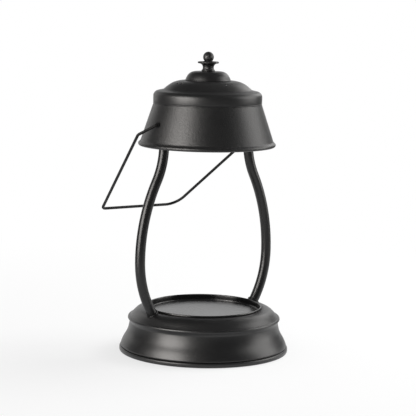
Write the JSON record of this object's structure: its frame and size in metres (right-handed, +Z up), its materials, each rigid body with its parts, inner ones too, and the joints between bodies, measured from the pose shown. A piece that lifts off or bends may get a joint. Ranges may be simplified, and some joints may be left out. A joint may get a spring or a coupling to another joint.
{
  "type": "candle warmer lamp",
  "caption": "Small lantern-shaped lamp: a bulb in a spun cone shade on two bowed tube posts warms a jar candle standing in a dished round base; a wire bail swings behind.",
  "frame": {"origin": "centre of the underside of the felt pad, where the lamp's axis meets the table", "axes": "+Z up along the lamp's axis; the two posts stand on the X axis, with the wired post at -X; +Y towards the side where the bail hangs and the cord would enter"},
  "size_m": [0.187, 0.2206, 0.3307],
  "materials": {
    "black_paint": "satin black powder coat on spun and bent steel",
    "cast_paint": "satin black paint on a cast zinc knob",
    "zinc_steel": "zinc-plated steel",
    "brass": "plain turned brass",
    "ceramic": "unglazed white ceramic",
    "reflector": "mirror-coated pressed glass",
    "clear_glass": "clear glass",
    "felt": "pressed black felt",
    "rubber": "black silicone rubber"
  },
  "bodies": {
    "lamp": {"finial": "cast_paint", "stem": "zinc_steel", "stem_nuts": "zinc_steel", "cap": "black_paint", "roof": "black_paint", "shade": "black_paint", "bracket": "zinc_steel", "lampholder": "ceramic", "holder_contacts": "brass", "holder_screws": "zinc_steel", "bail_bushes": "black_paint", "post_left": "black_paint", "post_right": "black_paint", "post_collars": "black_paint", "post_washers": "zinc_steel", "upper_post_nuts": "zinc_steel", "lower_post_nuts": "zinc_steel", "base_shell": "black_paint", "base_ring": "black_paint", "candle_dish": "black_paint", "tie_stud": "zinc_steel", "tie_nut": "zinc_steel", "bottom_cover": "zinc_steel", "felt_pad": "felt", "cord_bush": "rubber", "lead_wires": "rubber", "terminal_block": "ceramic", "terminal_screws": "brass"},
    "bail": {"bail": "black_paint", "bail_clips": "zinc_steel"},
    "bulb": {"bulb_reflector": "reflector", "bulb_lens": "clear_glass", "bulb_capsule": "clear_glass", "bulb_base": "ceramic", "bulb_pins": "zinc_steel"}
  },
  "joints": [
    {"name": "bail_hinge", "type": "hinge", "parent": "lamp", "child": "bail", "pos_m": [0, 0, 0.253], "axis": [1, 0, 0], "range_deg": [-43.5, 304.5]},
    {"name": "bulb_twist", "type": "hinge", "parent": "lamp", "child": "bulb", "pos_m": [0, 0, 0.2767], "axis": [0, 0, 1], "range_deg": [-30, 0]}
  ]
}
